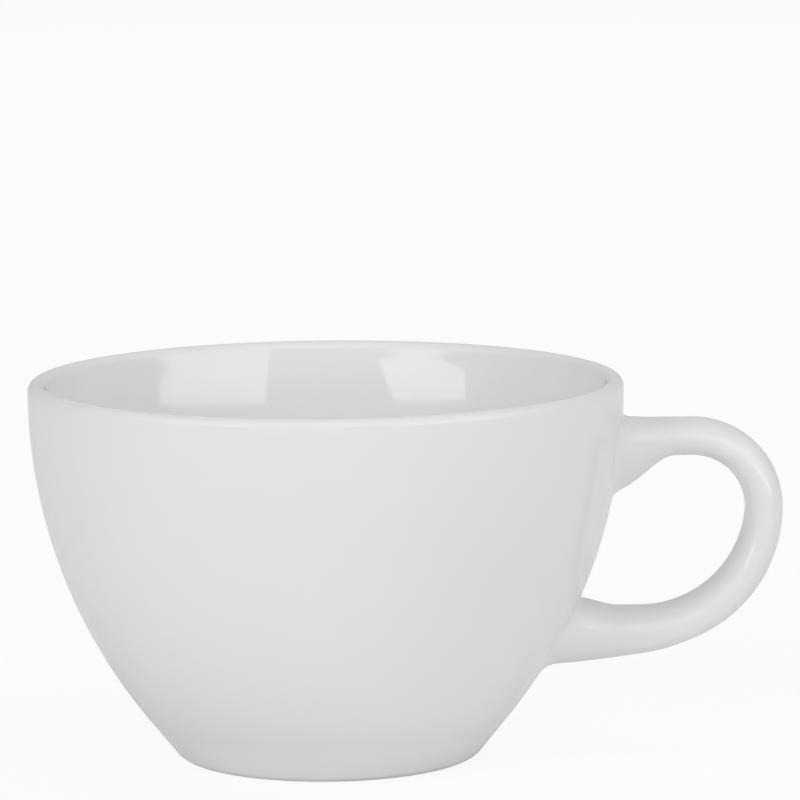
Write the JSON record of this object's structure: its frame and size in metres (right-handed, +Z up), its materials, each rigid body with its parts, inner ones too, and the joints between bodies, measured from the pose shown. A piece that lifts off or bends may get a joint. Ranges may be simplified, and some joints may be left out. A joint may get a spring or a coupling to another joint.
{
  "type": "tea cup",
  "caption": "Low round tea cup with a curved belly, a rounded lip and one looped handle, glazed white all over except its standing ring.",
  "frame": {"origin": "on the bowl's axis, at the height of the ring that the cup stands on", "axes": "+Z up along the bowl's axis, +X towards the handle"},
  "size_m": [0.1205, 0.095, 0.061],
  "materials": {
    "bisque": "matte fired clay, ground smooth on the standing ring",
    "slip": "matte fired slip",
    "glaze": "glossy clear glaze over white clay"
  },
  "bodies": {
    "root": {"bowl": "bisque", "handle": "bisque", "upper_slip_joint": "slip", "lower_slip_joint": "slip", "inside_glaze": "glaze", "outside_glaze": "glaze", "handle_glaze": "glaze", "underside_glaze": "glaze"}
  },
  "joints": []
}
